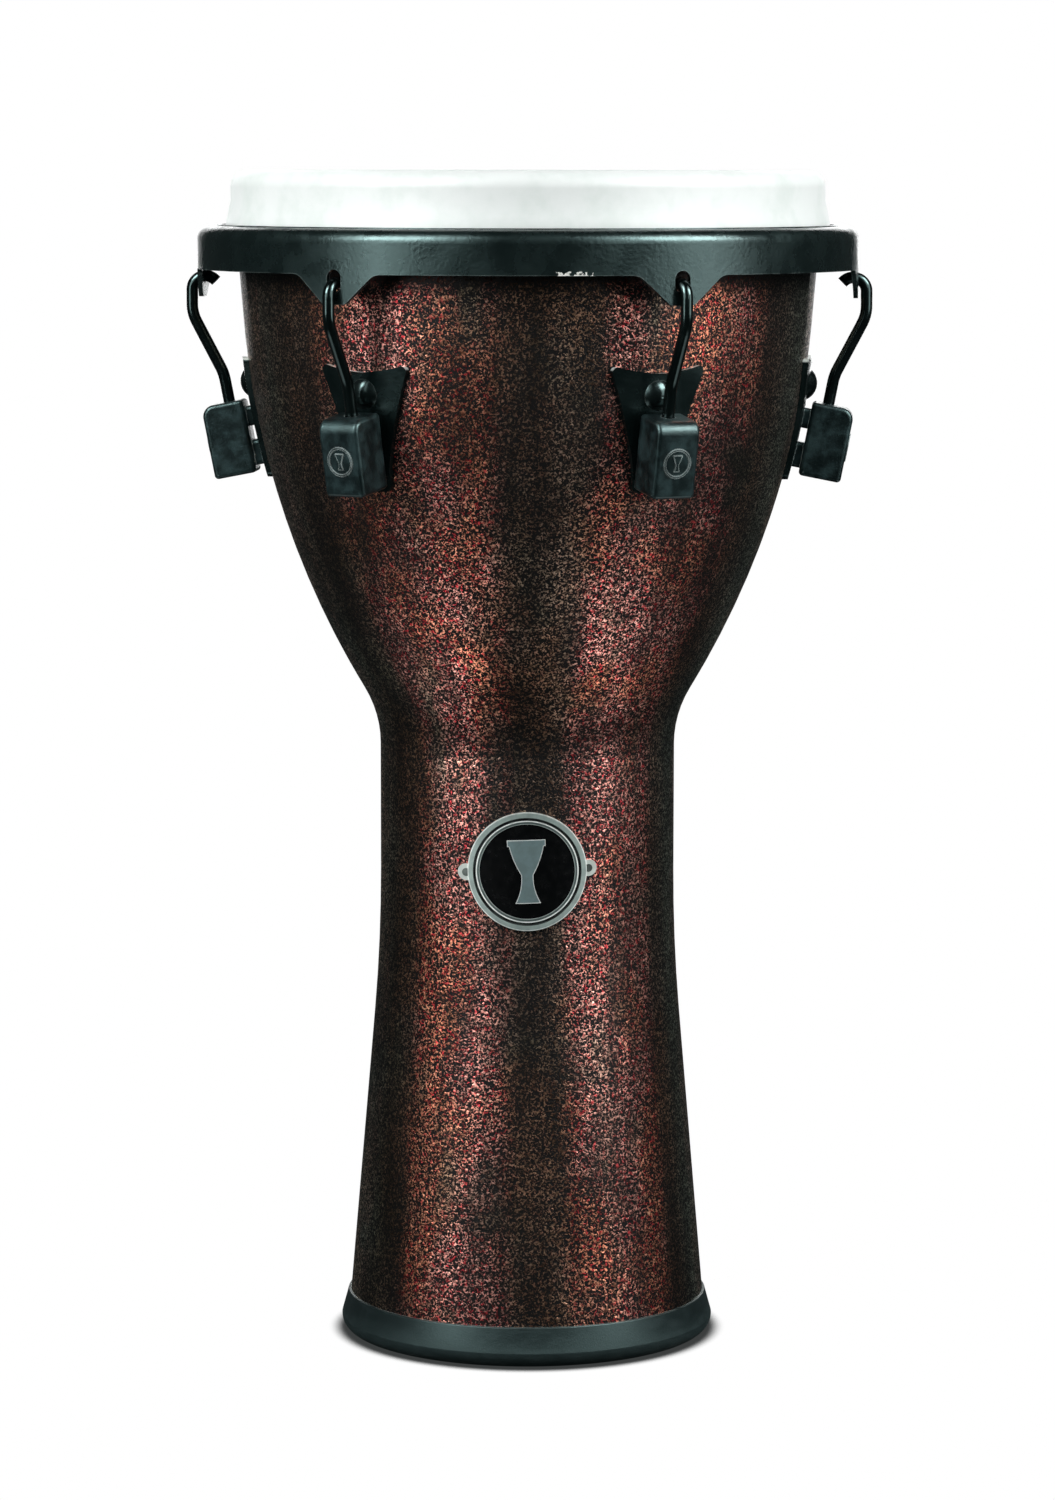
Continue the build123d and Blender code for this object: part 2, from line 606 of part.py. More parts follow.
def main():
    os.makedirs("parts", exist_ok=True)
    save("shell", shell())
    save("foot_ring", foot_ring())
    save("head_film", head_film())
    save("flesh_hoop", flesh_hoop())
    save("counter_hoop", counter_hoop())
    save("badge_plate", badge_plate())
    save("badge_enamel", badge_enamel())
    save("badge_emblem", badge_emblem())
    save("badge_pins", *badge_pins())
    single = {
        "side_plate": side_plate(),
        "lug_block": lug_block(),
        "tension_hook": tension_hook(),
        "tuning_nut": tuning_nut(),
    }
    for name, solid in single.items():
        for number, copy in enumerate(at_lugs(solid), start=1):
            save(f"{name}_{number}", copy)
    grouped = {
        "carriage_bolts": [carriage_bolt()],
        "carriage_washers": [carriage_washer()],
        "carriage_nuts": [carriage_nut()],
        "lug_screws": lug_screws(),
        "lug_screw_washers": lug_washers(),
        "tuning_washers": [tuning_washer()],
    }
    for name, solids in grouped.items():
        save(name, *[copy for solid in solids for copy in at_lugs(solid)])


main()
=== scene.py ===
"""Looks of the goblet drum: the head film's mesh, the materials, the studio and the camera.

Everything is in metres in the drum's own frame: the axis is on Z, the badge faces -Y.
"""

from math import cos, pi, radians, sin

import bmesh
import bpy
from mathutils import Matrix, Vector


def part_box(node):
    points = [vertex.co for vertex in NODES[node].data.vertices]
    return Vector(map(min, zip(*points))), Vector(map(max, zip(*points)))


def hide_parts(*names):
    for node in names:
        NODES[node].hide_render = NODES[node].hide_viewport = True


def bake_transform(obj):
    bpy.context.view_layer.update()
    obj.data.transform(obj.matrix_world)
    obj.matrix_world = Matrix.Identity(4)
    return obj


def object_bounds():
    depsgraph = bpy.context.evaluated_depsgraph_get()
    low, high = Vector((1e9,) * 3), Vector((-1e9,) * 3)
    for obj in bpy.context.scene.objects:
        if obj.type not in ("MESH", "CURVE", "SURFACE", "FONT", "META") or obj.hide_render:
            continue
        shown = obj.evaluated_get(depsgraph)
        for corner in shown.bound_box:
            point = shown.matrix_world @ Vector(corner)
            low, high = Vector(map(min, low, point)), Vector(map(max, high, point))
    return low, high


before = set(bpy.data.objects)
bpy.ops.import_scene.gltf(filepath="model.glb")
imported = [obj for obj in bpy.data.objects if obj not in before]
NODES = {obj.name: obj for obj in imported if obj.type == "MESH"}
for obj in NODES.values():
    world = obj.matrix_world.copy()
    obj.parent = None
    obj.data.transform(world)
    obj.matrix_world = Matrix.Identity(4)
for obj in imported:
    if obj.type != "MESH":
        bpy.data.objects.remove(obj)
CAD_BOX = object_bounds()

FLOOR_Z = CAD_BOX[0].z

# ---- camera and floor ----
LENS = 0.1158
SENSOR = 0.036
CAMERA_DISTANCE = 2.616
CAMERA_HEIGHT = 0.639
CAMERA_PITCH = 6.94  # degrees below level
CAMERA_ROLL = -0.07  # degrees
CAMERA_SIDE = -0.0003
FLOOR_HALF = 8.0
CONTACT_SHADOW = 0.010  # how far the shadow under the foot reaches

# ---- head film ----
FILM = 0.0006  # thickness
FILM_CORNER = 0.0091  # radius of the bend over the shell's edge
COLLAR_TOP = (0.15995, 0.6190)  # radius and height where the film turns out from the shell
COLLAR_LOW = 0.6045  # height where it drops straight into the flesh hoop
FILM_SIDES = 288
ARC_STEPS = 14  # facets in the bend
TOP_RINGS = 12  # facets from the middle of the head to the bend

WHITE = (1.0, 1.0, 1.0, 1.0)


# ---- node helpers ----
def colour(red, green, blue):
    """Linear colour from the usual 0 to 255 values."""
    def linear(v):
        v /= 255
        return v / 12.92 if v <= 0.04045 else ((v + 0.055) / 1.055) ** 2.4
    return (linear(red), linear(green), linear(blue), 1.0)


class Shader:
    """One node material: a Principled surface and the pattern nodes that drive it."""

    def __init__(self, name, **values):
        self.material = bpy.data.materials.new(name)
        self.material.use_nodes = True
        self.tree = self.material.node_tree
        self.surface = self.tree.nodes["Principled BSDF"]
        for socket, value in values.items():
            self.surface.inputs[socket.replace("_", " ")].default_value = value

    def put(self, value, socket):
        """Links an output, or sets a plain value."""
        if isinstance(value, bpy.types.NodeSocket):
            self.tree.links.new(value, socket)
        else:
            socket.default_value = value

    def add(self, kind, inputs=(), output=0, **settings):
        """Adds a node, and gives back one of its outputs."""
        made = self.tree.nodes.new("ShaderNode" + kind)
        for name, value in settings.items():
            setattr(made, name, value)
        for name, value in dict(inputs).items():
            self.put(value, made.inputs[name])
        return made.outputs[output]

    def drive(self, **values):
        """Drives the surface's sockets from nodes."""
        for socket, value in values.items():
            self.put(value, self.surface.inputs[socket.replace("_", " ")])

    def point(self, stretch=(1, 1, 1)):
        """Place on the object, in metres, with each axis scaled."""
        place = self.add("TexCoord", output="Object")
        return self.add("Mapping", {"Vector": place, "Scale": stretch})

    def noise(self, point, scale, detail=2.0, roughness=0.5, distortion=0.0):
        inputs = {
            "Vector": point, "Scale": scale, "Detail": detail,
            "Roughness": roughness, "Distortion": distortion,
        }
        return self.add("TexNoise", inputs, "Fac")

    def cells(self, point, scale):
        """Distance to the nearest of many scattered points."""
        return self.add("TexVoronoi", {"Vector": point, "Scale": scale}, "Distance")

    def calc(self, operation, a, b=0.5):
        return self.add("Math", {0: a, 1: b}, operation=operation)

    def step(self, value, low, high, start=0.0, end=1.0):
        """Smooth change from start to end as value goes from low to high."""
        inputs = {"Value": value, "From Min": low, "From Max": high, "To Min": start, "To Max": end}
        return self.add("MapRange", inputs, interpolation_type="SMOOTHSTEP")

    def mix(self, factor, a, b, blend="MIX"):
        """Colour a where factor is 0, and b where it is 1."""
        made = self.tree.nodes.new("ShaderNodeMix")
        made.data_type = "RGBA"
        made.blend_type = blend
        self.put(factor, made.inputs["Factor"])
        self.put(a, made.inputs[6])
        self.put(b, made.inputs[7])
        return made.outputs[2]

    def bump(self, height, strength, distance):
        return self.add("Bump", {"Height": height, "Strength": strength, "Distance": distance})

    def axes(self, point):
        """X, Y and Z of a point, as three outputs."""
        made = self.tree.nodes.new("ShaderNodeSeparateXYZ")
        self.put(point, made.inputs[0])
        return made.outputs

    def edges(self, radius, low, high):
        """1 on sharp edges and 0 on flat faces, from how far a rounded normal turns."""
        rounded = self.add("Bevel", {"Radius": radius}, samples=4)
        flat = self.add("NewGeometry", output="Normal")
        turn = self.add("VectorMath", {0: rounded, 1: flat}, "Value", operation="DOT_PRODUCT")
        return self.step(turn, high, low)


# ---- materials ----
# on the lugs, this pale edge band is partly a painted highlight
EDGE_WEAR_AND_HIGHLIGHT = 0.0009  # how far from an edge the paint is rubbed
# painted highlight: the lugs' emblem lines are paled this close to their edges
FINE_EDGE = 0.00022  # the same for the thin lines of the lugs' emblems

FLECK_SCALE = 880.0
# painted highlight: the warm patches repeat round the shell and are turned to lie where the side
# panels' shine falls
HIGHLIGHT_BURSTS, HIGHLIGHT_TURN = 6.0, 0.07  # warm patches round the shell, and how far round they start
# painted shadow of the hoop: the flecks dim between these heights
HOOP_SHADOW = (0.581, 0.568)  # the flecks thin out between these heights, up under the hoop


def shell_finish():
    """Black lacquer full of small copper flecks, in rose, red and copper clouds, partly painted
    highlight; paler sides and a dim band under the hoop are painted sheen and painted shadow; raw fibre
    inside.
    """
    s = Shader("shell_finish", Specular_IOR_Level=0.12)
    point = s.point()
    flecks = s.noise(point, FLECK_SCALE, 1.0, 0.5, 0.8)
    fleck = s.step(flecks, 0.53, 0.58)
    x, y, z = s.axes(point)
    # painted highlight: warm patches round the shell, lined up with where the side panels shine, and
    # painted sheen: duller, paler flecks on both sides of it
    turn = s.calc("ARCTAN2", x, s.calc("MULTIPLY", y, -1.0))
    wave = s.calc("MULTIPLY", s.calc("SUBTRACT", turn, HIGHLIGHT_TURN), HIGHLIGHT_BURSTS)
    highlight_burst = s.step(s.calc("COSINE", wave), 0.90, 0.0)
    # painted sheen: 1 on the shell's two sides, left and right of the badge
    side = s.step(s.calc("SINE", s.calc("ABSOLUTE", turn)), 0.84, 0.97)
    streak = s.noise(s.point((1, 1, 0.20)), 36.0, 4.0, 0.6)
    cloud = s.noise(point, 30.0, 3.0, 0.55, 0.4)
    tint = s.noise(s.point((1, 1, 0.5)), 24.0, 2.0)
    # random copper clouds, narrowed to the painted highlight patches and dimmed by the painted sheen at
    # the sides
    copper_and_highlight = s.calc("MULTIPLY", s.step(streak, 0.28, 0.52), s.step(cloud, 0.22, 0.50))
    copper_and_highlight = s.calc("MULTIPLY", copper_and_highlight, s.step(highlight_burst, 0, 1, 0.15, 1.0))
    copper_and_highlight = s.calc("MULTIPLY", copper_and_highlight, s.step(side, 0, 1, 1.0, 0.3))
    # the colour of each fleck
    hue = s.noise(point, 430.0, 1.0)
    dull_and_side_sheen = s.mix(s.step(tint, 0.40, 0.60), colour(128, 120, 102), colour(140, 116, 94))
    # painted sheen: the flecks turn pale grey-green towards both sides
    dull_and_side_sheen = s.mix(side, dull_and_side_sheen, colour(158, 168, 152))
    copper = s.mix(s.step(tint, 0.42, 0.60), colour(240, 170, 156), colour(240, 158, 124))
    copper = s.mix(s.step(hue, 0.51, 0.63, 0.0, 0.95), copper, colour(206, 50, 62))
    lit = s.mix(copper_and_highlight, dull_and_side_sheen, copper)
    # how brightly it shines
    depth = s.step(s.noise(s.point((1, 1, 0.16)), 52.0, 3.0, 0.55), 0.34, 0.62, 0.40, 1.0)
    spark = s.step(s.noise(point, 500.0, 2.0, 0.6), 0.32, 0.68, 0.30, 1.6)
    # painted shadow: the flecks dim up under the hoop
    spark = s.calc("MULTIPLY", spark, s.step(z, *HOOP_SHADOW, 0.03, 1.0))
    weave = s.noise(s.point((0.2, 0.2, 2.0)), 190.0, 2.0, 0.6)
    spark = s.calc("MULTIPLY", spark, s.step(weave, 0.36, 0.62, 0.72, 1.15))
    lit = s.mix(1.0, lit, s.calc("MULTIPLY", depth, spark), "MULTIPLY")
    base = s.mix(fleck, colour(3, 3, 3), lit)
    # the inner wall is bare, so it is told apart by which way it faces
    place = s.add("TexCoord", output="Object")
    facing = s.add("TexCoord", output="Normal")
    flat_place = s.add("VectorMath", {0: place, 1: (1, 1, 0)}, operation="MULTIPLY")
    outward = s.add("VectorMath", {0: flat_place, 1: facing}, "Value", operation="DOT_PRODUCT")
    outside = s.step(outward, -0.02, 0.01)
    fibre = s.noise(s.point((1, 1, 0.15)), 260.0, 4.0, 0.7)
    raw = s.mix(fibre, colour(28, 27, 25), colour(62, 58, 52))
    s.drive(
        Base_Color=s.mix(outside, raw, base),
        Metallic=s.calc("MULTIPLY", fleck, outside),
        Roughness=s.step(fleck, 0, 1, 0.45, 0.30),
        Normal=s.bump(flecks, 0.55, 0.0005),
    )
    return s.material


def head_film():
    """White coated film, with a faint grain and cloudy coating."""
    s = Shader("head_film", Specular_IOR_Level=0.22)
    point = s.point()
    cloud = s.noise(point, 38.0, 5.0, 0.6)
    grain = s.noise(point, 1400.0, 2.0)
    brushed = s.noise(s.point((1, 1, 3)), 160.0, 4.0, 0.65)
    s.drive(
        Base_Color=s.mix(s.step(cloud, 0.40, 0.70), colour(243, 248, 246), colour(232, 240, 236)),
        Roughness=s.step(brushed, 0.3, 0.7, 0.42, 0.58),
        Normal=s.bump(grain, 0.12, 0.0002),
    )
    return s.material


BLACK_SHEEN = (0.66, 1.0, 0.98, 1.0)  # the black parts shine a little blue-green
BLACK_GLOSS = 0.33


def black_paint(name, base, wear_and_highlight_tone, roughness, bumps, top_highlight=False, chip=None):
    """Satin black enamel: orange peel, fine dust in it, and paler rubbed edges; with top_highlight,
    paler upward faces instead, as a painted highlight.
    """
    s = Shader(name, Specular_Tint=BLACK_SHEEN, Specular_IOR_Level=BLACK_GLOSS)
    point = s.point()
    peel = s.noise(point, 520.0, 2.0, 0.5)
    grain = s.noise(point, 2600.0, 2.0, 0.6)
    cloud = s.noise(point, 55.0, 4.0, 0.6)
    tone = s.mix(cloud, base, tuple(v * 1.5 for v in base[:3]) + (1.0,))
    # painted highlight: upward faces are made paler
    if top_highlight:
        up = s.axes(s.add("NewGeometry", output="Normal"))[2]
        rub_and_highlight = s.calc("MULTIPLY", s.step(up, 0.15, 0.55), s.step(cloud, 0.25, 0.50, 0.5, 1.0))
    else:
        rub_and_highlight = s.calc("MULTIPLY", s.edges(EDGE_WEAR_AND_HIGHLIGHT, 0.80, 0.97), s.step(cloud, 0.35, 0.62))
    tone = s.mix(s.calc("MULTIPLY", rub_and_highlight, 0.8), tone, wear_and_highlight_tone)
    if chip is not None:
        tone = s.mix(chip(s), tone, colour(246, 246, 240))
    height = s.calc("ADD", s.calc("MULTIPLY", peel, 0.8), s.calc("MULTIPLY", grain, 0.2))
    s.drive(
        Base_Color=tone,
        Roughness=s.step(cloud, 0.3, 0.7, roughness - 0.05, roughness + 0.06),
        Normal=s.bump(height, bumps, 0.0003),
    )
    return s.material


CHIP_X, CHIP_HALF = 0.0235, 0.0095  # a knock on the hoop's lower edge, right of the middle
CHIP_DROP = 0.0106  # the hoop's lower edge is this far below the flesh hoop's
CHIP_DEPTH = 0.0023


def hoop_chip(s):
    """1 where the hoop's lower edge has lost its paint."""
    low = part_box("flesh_hoop")[0].z - CHIP_DROP
    x, y, z = s.axes(s.point())
    ragged = s.noise(s.point(), 420.0, 3.0, 0.7)
    reach = s.step(ragged, 0.40, 0.66, 0.0, CHIP_DEPTH)
    across = s.calc("ABSOLUTE", s.calc("SUBTRACT", x, CHIP_X))
    in_span = s.calc("LESS_THAN", across, CHIP_HALF)
    near_edge = s.calc("LESS_THAN", s.calc("SUBTRACT", z, low), reach)
    in_front = s.calc("LESS_THAN", y, 0.0)
    return s.calc("MULTIPLY", s.calc("MULTIPLY", in_span, near_edge), in_front)


def lug_paint():
    """Cast block: dark blue-grey paint with the casting's grain, edges paled partly as rubbed paint and
    partly as painted highlight, and painted highlight lines on the emblem.
    """
    s = Shader("lug_grey", Specular_Tint=BLACK_SHEEN, Specular_IOR_Level=0.28)
    point = s.point()
    cast = s.noise(point, 900.0, 4.0, 0.65)
    cloud = s.noise(point, 120.0, 4.0, 0.6)
    pits = s.cells(point, 700.0)
    patchy = s.step(cloud, 0.30, 0.60, 0.35, 1.0)
    rub_and_highlight = s.calc("MAXIMUM", s.edges(EDGE_WEAR_AND_HIGHLIGHT, 0.84, 0.985), s.edges(FINE_EDGE, 0.93, 0.995))
    rub_and_highlight = s.calc("MULTIPLY", rub_and_highlight, patchy)
    tone = s.mix(s.step(cloud, 0.40, 0.68), colour(5, 12, 14), colour(26, 40, 42))
    tone = s.mix(s.step(pits, 0.10, 0.02), tone, colour(70, 84, 84))
    # the pale edges and emblem lines: rubbed paint in part, painted highlight in part
    tone = s.mix(s.calc("MULTIPLY", rub_and_highlight, 0.9), tone, colour(196, 210, 208))
    s.drive(
        Base_Color=tone,
        Roughness=s.step(cloud, 0.3, 0.7, 0.30, 0.42),
        Normal=s.bump(cast, 0.35, 0.0004),
    )
    return s.material


FOOT_DUST = (0.006, 0.0)  # heights between which dust comes in
FOOT_CURVE = (0.003, 0.018)  # the ring's lower curve, duller than its side
# painted highlight: the bright line along the ring's upper rim starts here
FOOT_RIM = (0.0195, 0.0205)  # the ring's upper rim begins here
RIM_EDGE = 0.0007


def rubber():
    """Moulded foot ring: dull black rubber, with a little dust low down, and a painted highlight along
    its upper rim.
    """
    s = Shader("rubber", Specular_Tint=BLACK_SHEEN, Specular_IOR_Level=0.27)
    point = s.point()
    grain = s.noise(point, 1100.0, 3.0, 0.6)
    scuff = s.noise(s.point((1, 1, 4)), 90.0, 5.0, 0.7)
    z = s.axes(point)[2]
    dust = s.calc("MULTIPLY", s.step(z, *FOOT_DUST), s.step(scuff, 0.4, 0.7))
    shine = s.step(z, *FOOT_CURVE, 0.60, 0.34)
    tone = s.mix(s.step(scuff, 0.45, 0.75), colour(18, 25, 26), colour(28, 35, 36))
    tone = s.mix(s.calc("MULTIPLY", dust, 0.2), tone, colour(92, 94, 92))
    # painted highlight: a bright line on the upper rim's edge
    rim = s.calc("MULTIPLY", s.edges(RIM_EDGE, 0.90, 0.99), s.step(z, *FOOT_RIM))
    rim = s.calc("MULTIPLY", rim, s.step(scuff, 0.3, 0.6, 0.3, 1.0))
    tone = s.mix(rim, tone, colour(200, 212, 208))
    s.drive(
        Base_Color=tone,
        Roughness=s.calc("ADD", s.step(scuff, 0.3, 0.7, 0.0, 0.10), shine),
        Normal=s.bump(grain, 0.25, 0.0003),
    )
    return s.material


def plain_metal(name, light, dark, roughness, stretch=(1, 1, 6)):
    """Bare or plated metal with drawn lines and dull patches."""
    s = Shader(name, Metallic=1.0)
    lines = s.noise(s.point(stretch), 500.0, 4.0, 0.7)
    cloud = s.noise(s.point(), 90.0, 3.0)
    s.drive(
        Base_Color=s.mix(s.step(cloud, 0.35, 0.7), light, dark),
        Roughness=s.step(lines, 0.3, 0.7, roughness - 0.06, roughness + 0.08),
        Normal=s.bump(lines, 0.10, 0.0001),
    )
    return s.material


# tone of the badge by distance from its centre, in millimetres: bright rims that are painted highlights
# along the rings' edges, darker bands, black groove
BADGE_BANDS = (
    (0.0, (112, 134, 136)),
    (25.2, (180, 192, 188)),
    (25.6, (70, 84, 82)),
    (26.7, (244, 250, 246)),
    (27.2, (2, 3, 3)),
    (28.9, (150, 166, 161)),
    (31.2, (226, 234, 230)),
    (32.0, (190, 198, 192)),
)
BADGE_REACH = 40.0  # where the bands' scale ends
EMBLEM_REACH = 0.024  # the emblem lies within this of the badge's centre


def badge_metal():
    """Nickel badge, turned in fine rings about its own centre, with black in the groove, and painted
    highlights as bright lines at the rings' edges and round the emblem.
    """
    low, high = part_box("badge_plate")
    s = Shader("badge_metal", Metallic=0.45)
    x, _, z = s.axes(s.point())
    z = s.calc("SUBTRACT", z, (low.z + high.z) / 2)
    radius = s.calc("SQRT", s.calc("ADD", s.calc("POWER", x, 2.0), s.calc("POWER", z, 2.0)))
    ramp = s.tree.nodes.new("ShaderNodeValToRGB")
    ramp.color_ramp.interpolation = "CONSTANT"
    stops = ramp.color_ramp.elements
    stops.remove(stops[1])
    for number, (at, tone) in enumerate(BADGE_BANDS):
        stop = stops[0] if number == 0 else stops.new(at / BADGE_REACH)
        stop.color = colour(*tone)
    s.put(s.calc("MULTIPLY", radius, 1000 / BADGE_REACH), ramp.inputs["Fac"])
    ring = s.add("CombineXYZ", {0: radius, 1: 0.0, 2: 0.0})
    turned = s.noise(ring, 2400.0, 3.0, 0.7)
    cloud = s.noise(s.point(), 160.0, 3.0, 0.6)
    tone = s.mix(s.step(cloud, 0.35, 0.65, 0.0, 0.3), ramp.outputs[0], colour(84, 96, 94))
    # painted highlight: a bright outline along the emblem's edges
    solid = s.add(
        "AmbientOcclusion", {"Distance": 0.0005}, "AO", samples=8, inside=True, only_local=True
    )
    outline = s.calc("MULTIPLY", s.step(solid, 0.97, 0.80), s.calc("LESS_THAN", radius, EMBLEM_REACH))
    s.drive(
        Base_Color=s.mix(outline, tone, colour(236, 240, 238)),
        Roughness=s.step(turned, 0.3, 0.7, 0.30, 0.46),
        Normal=s.bump(turned, 0.12, 0.0001),
    )
    return s.material


def enamel():
    """Glossy black enamel with a slight ripple."""
    s = Shader("badge_enamel", Specular_IOR_Level=0.22)
    ripple = s.noise(s.point(), 240.0, 2.0)
    dust = s.noise(s.point(), 3000.0, 2.0)
    s.drive(
        Base_Color=s.mix(s.step(dust, 0.66, 0.80), colour(3, 4, 5), colour(8, 10, 11)),
        Roughness=s.step(ripple, 0.3, 0.7, 0.20, 0.28),
        Normal=s.bump(ripple, 0.05, 0.0004),
    )
    return s.material


MATERIALS = {
    "shell_finish": shell_finish(),
    "head_film": head_film(),
    "black_steel": black_paint(
        "black_steel", colour(8, 15, 15), colour(112, 122, 120), 0.27, 0.5, chip=hoop_chip
    ),
    # the plates' pale tone is a painted highlight on their upward faces
    "black_plate": black_paint(
        "black_plate", colour(5, 11, 11), colour(236, 244, 240), 0.24, 0.3, top_highlight=True
    ),
    "black_gloss": black_paint("black_gloss", colour(4, 7, 7), colour(70, 78, 76), 0.15, 0.10),
    "black_fastener": black_paint(
        "black_fastener", colour(6, 10, 10), colour(90, 96, 94), 0.20, 0.2
    ),
    "lug_grey": lug_paint(),
    "rubber": rubber(),
    "flesh_hoop": plain_metal(
        "flesh_hoop", colour(198, 200, 202), colour(168, 170, 174), 0.34, (1, 1, 8)
    ),
    "zinc": plain_metal("zinc", colour(188, 190, 186), colour(140, 142, 140), 0.38),
    "pin_steel": plain_metal("pin_steel", colour(96, 104, 100), colour(52, 58, 56), 0.42),
    "badge_metal": badge_metal(),
    "badge_enamel": enamel(),
}

# parts that look other than their own material says, without the number at the end of the name
OWN_LOOKS = {
    "tension_hook": "black_gloss",
    "side_plate": "black_plate",
    "badge_pins": "pin_steel",
}
for name, node in NODES.items():
    for holder in node.material_slots:
        kind = OWN_LOOKS.get(name.rstrip("_123456"), holder.material.name)
        holder.material = MATERIALS[kind]


# ---- head film ----
def film_profile():
    """Half section of the film as (radius, height), round the outside and back along the inside."""
    low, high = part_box("head_film")
    corner_z = high.z - FILM_CORNER
    corner_r = COLLAR_TOP[0] - FILM_CORNER

    def side(inset):
        bend = FILM_CORNER - inset
        top = COLLAR_TOP[0] - inset
        foot = high.x - inset
        flat = [(corner_r * n / TOP_RINGS, high.z - inset) for n in range(1, TOP_RINGS)]
        arc = [
            (corner_r + bend * sin(a), corner_z + bend * cos(a))
            for a in (radians(90) * n / ARC_STEPS for n in range(ARC_STEPS + 1))
        ]
        drop = [
            (top, COLLAR_TOP[1]),
            (top + (high.x - COLLAR_TOP[0]) / 2, (COLLAR_TOP[1] + COLLAR_LOW) / 2),
            (foot, COLLAR_LOW),
            (foot, low.z),
        ]
        return flat + arc + drop

    return side(0.0), side(FILM)


def turned_mesh(name, outer, inner, sides):
    """A closed sheet between two half sections, each going once round the axis."""
    mesh = bmesh.new()
    caps = []
    rings = []
    for profile in (outer, inner):
        caps.append(mesh.verts.new((0, 0, profile[0][1])))
        rings.append([
            [
                mesh.verts.new((r * cos(2 * pi * n / sides), r * sin(2 * pi * n / sides), z))
                for n in range(sides)
            ]
            for r, z in profile
        ])
    for number, (cap, profile) in enumerate(zip(caps, rings)):
        for n in range(sides):
            m = (n + 1) % sides
            first = (cap, profile[0][n], profile[0][m])
            mesh.faces.new(first if number == 0 else first[::-1])
            for a, b in zip(profile, profile[1:]):
                face = (a[n], b[n], b[m], a[m])
                mesh.faces.new(face if number == 0 else face[::-1])
    for n in range(sides):
        m = (n + 1) % sides
        mesh.faces.new((rings[0][-1][n], rings[1][-1][n], rings[1][-1][m], rings[0][-1][m]))
    for face in mesh.faces:
        face.smooth = True
    data = bpy.data.meshes.new(name)
    mesh.to_mesh(data)
    mesh.free()
    made = bpy.data.objects.new(name, data)
    bpy.context.scene.collection.objects.link(made)
    return made


film = turned_mesh("film", *film_profile(), FILM_SIDES)
film.data.materials.append(MATERIALS["head_film"])
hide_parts("head_film")
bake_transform(film)


# ---- studio ----
GLOSS, COLOUR, BOTH = (True, False), (False, True), (True, True)  # what a panel lights

# name, degrees round from the front towards +X, distance, height, width, tall, brightness,
# height it is aimed at, and what it lights
PANELS = (
    # the panels that shine in the gloss
    ("left_panel", -50, 1.6, 1.35, 0.70, 2.3, 8.8, 0.6, GLOSS),
    ("right_panel", 60, 1.6, 1.35, 0.95, 2.3, 6.8, 0.6, GLOSS),
    ("left_high", -50, 1.5, 1.55, 0.70, 0.8, 34, 0.6, GLOSS),
    ("right_high", 60, 1.5, 1.55, 0.90, 0.8, 32, 0.6, GLOSS),
    ("left_mid", -30, 1.6, 1.45, 0.45, 1.6, 4.5, 0.6, GLOSS),
    ("right_mid", 33, 1.6, 1.45, 0.55, 1.6, 5.0, 0.6, GLOSS),
    # the pale floor in front, as the underside of the bowl shows it; these shine upward
    ("left_low", -60, 0.62, 0.02, 0.6, 0.7, 1.25, 6.0, GLOSS),
    ("right_low", 60, 0.62, 0.02, 0.6, 0.7, 1.25, 6.0, GLOSS),
    # the panels behind
    ("left_back", -166, 2.0, 1.2, 0.5, 1.8, 3.5, 0.5, BOTH),
    ("right_back", 166, 2.0, 1.2, 0.5, 1.8, 3.5, 0.5, BOTH),
    # the softer light that shows the colours
    ("left_fill", -72, 1.8, 0.9, 1.4, 1.4, 4.4, 0.55, COLOUR),
    ("right_fill", 75, 1.8, 0.9, 1.4, 1.4, 4.4, 0.55, COLOUR),
    ("front_fill", 0, 2.6, 1.6, 1.4, 1.0, 5.0, 0.55, COLOUR),
    ("top_fill", 0, 0.2, 2.2, 2.4, 2.4, 0.9, 0.0, COLOUR),
)
LOW_SPREAD = 90  # degrees; it keeps the low panels' shine off the foot and the neck


def panel(name, azimuth, distance, height, width, tall, radiance, aim, lights):
    """A soft panel, whose power in watts makes it look as bright as radiance says."""
    lamp = bpy.data.lights.new(name, "AREA")
    lamp.shape = "RECTANGLE"
    lamp.size = width
    lamp.size_y = tall
    lamp.energy = radiance * pi * width * tall
    if name.endswith("_low"):
        lamp.spread = radians(LOW_SPREAD)
    holder = bpy.data.objects.new(name, lamp)
    bpy.context.scene.collection.objects.link(holder)
    turn = radians(azimuth)
    holder.location = (distance * sin(turn), -distance * cos(turn), height)
    towards = Vector((0, 0, aim)) - holder.location
    holder.rotation_euler = towards.to_track_quat("-Z", "Y").to_euler()
    holder.visible_camera = False
    holder.visible_glossy, holder.visible_diffuse = lights


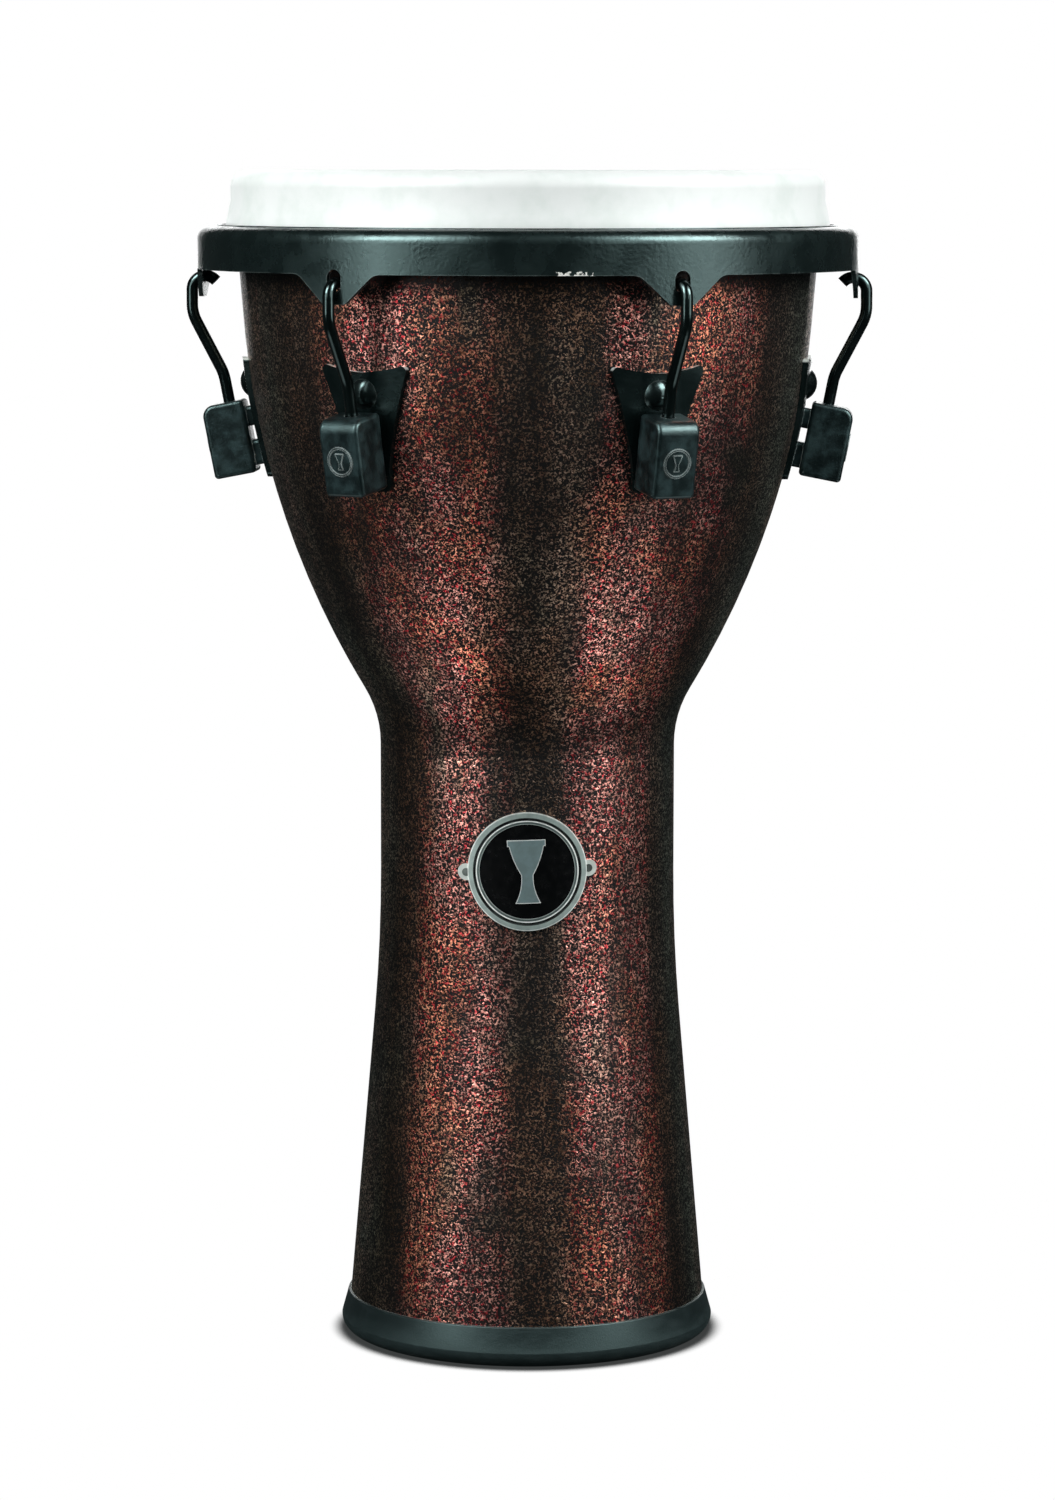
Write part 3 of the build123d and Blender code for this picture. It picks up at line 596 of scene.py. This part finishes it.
def floor():
    """White floor that only the camera sees, so that it throws nothing up at the drum; it glows white,
    with a contact shadow painted into its glow round the foot.
    """
    mesh = bmesh.new()
    bmesh.ops.create_grid(mesh, x_segments=1, y_segments=1, size=FLOOR_HALF)
    data = bpy.data.meshes.new("floor")
    mesh.to_mesh(data)
    mesh.free()
    made = bpy.data.objects.new("floor", data)
    made.location.z = FLOOR_Z
    bpy.context.scene.collection.objects.link(made)
    s = Shader(
        "floor", Roughness=0.9, Base_Color=colour(0, 0, 0), Specular_IOR_Level=0.0,
        Emission_Strength=1.0,
    )
    near = s.add("AmbientOcclusion", {"Distance": CONTACT_SHADOW}, "AO", samples=16)
    # painted shadow: the glow darkens where the drum's foot closes in over the floor
    s.drive(Emission_Color=s.mix(s.step(near, 0.45, 0.98), colour(60, 62, 62), WHITE))
    data.materials.append(s.material)
    made.visible_glossy = False
    made.visible_diffuse = False


ROOM_TINT = (0.82, 1.0, 0.98, 1.0)
ROOM_BACK, ROOM_FRONT = 0.04, 0.06  # strength of the room behind and in front of the drum


def surroundings():
    """White behind the drum for the camera, and a dim room in the gloss, paler in front."""
    world = bpy.data.worlds.new("room")
    bpy.context.scene.world = world
    world.use_nodes = True
    tree = world.node_tree
    tree.nodes.clear()
    new = tree.nodes.new
    path = new("ShaderNodeLightPath")
    way = new("ShaderNodeTexCoord")
    split = new("ShaderNodeSeparateXYZ")
    front = new("ShaderNodeMapRange")
    front.interpolation_type = "SMOOTHSTEP"
    span = {"From Min": 0.1, "From Max": -0.9, "To Min": ROOM_BACK, "To Max": ROOM_FRONT}
    for socket, value in span.items():
        front.inputs[socket].default_value = value
    room = new("ShaderNodeBackground")
    room.inputs["Color"].default_value = ROOM_TINT
    seen = new("ShaderNodeBackground")
    seen.inputs["Color"].default_value = WHITE
    chosen = new("ShaderNodeMixShader")
    out = new("ShaderNodeOutputWorld")
    link = tree.links.new
    link(way.outputs["Generated"], split.inputs[0])
    link(split.outputs["Y"], front.inputs["Value"])
    link(front.outputs[0], room.inputs["Strength"])
    link(path.outputs["Is Camera Ray"], chosen.inputs[0])
    link(room.outputs[0], chosen.inputs[1])
    link(seen.outputs[0], chosen.inputs[2])
    link(chosen.outputs[0], out.inputs[0])


def camera():
    lens = bpy.data.cameras.new("camera")
    lens.lens = LENS * 1000
    lens.sensor_width = SENSOR * 1000
    made = bpy.data.objects.new("camera", lens)
    bpy.context.scene.collection.objects.link(made)
    made.location = (CAMERA_SIDE, -CAMERA_DISTANCE, CAMERA_HEIGHT)
    made.rotation_euler = (radians(90 - CAMERA_PITCH), radians(CAMERA_ROLL), 0)
    bpy.context.scene.camera = made


bpy.context.scene.view_settings.view_transform = "Standard"
camera()
floor()
surroundings()
for row in PANELS:
    panel(*row)
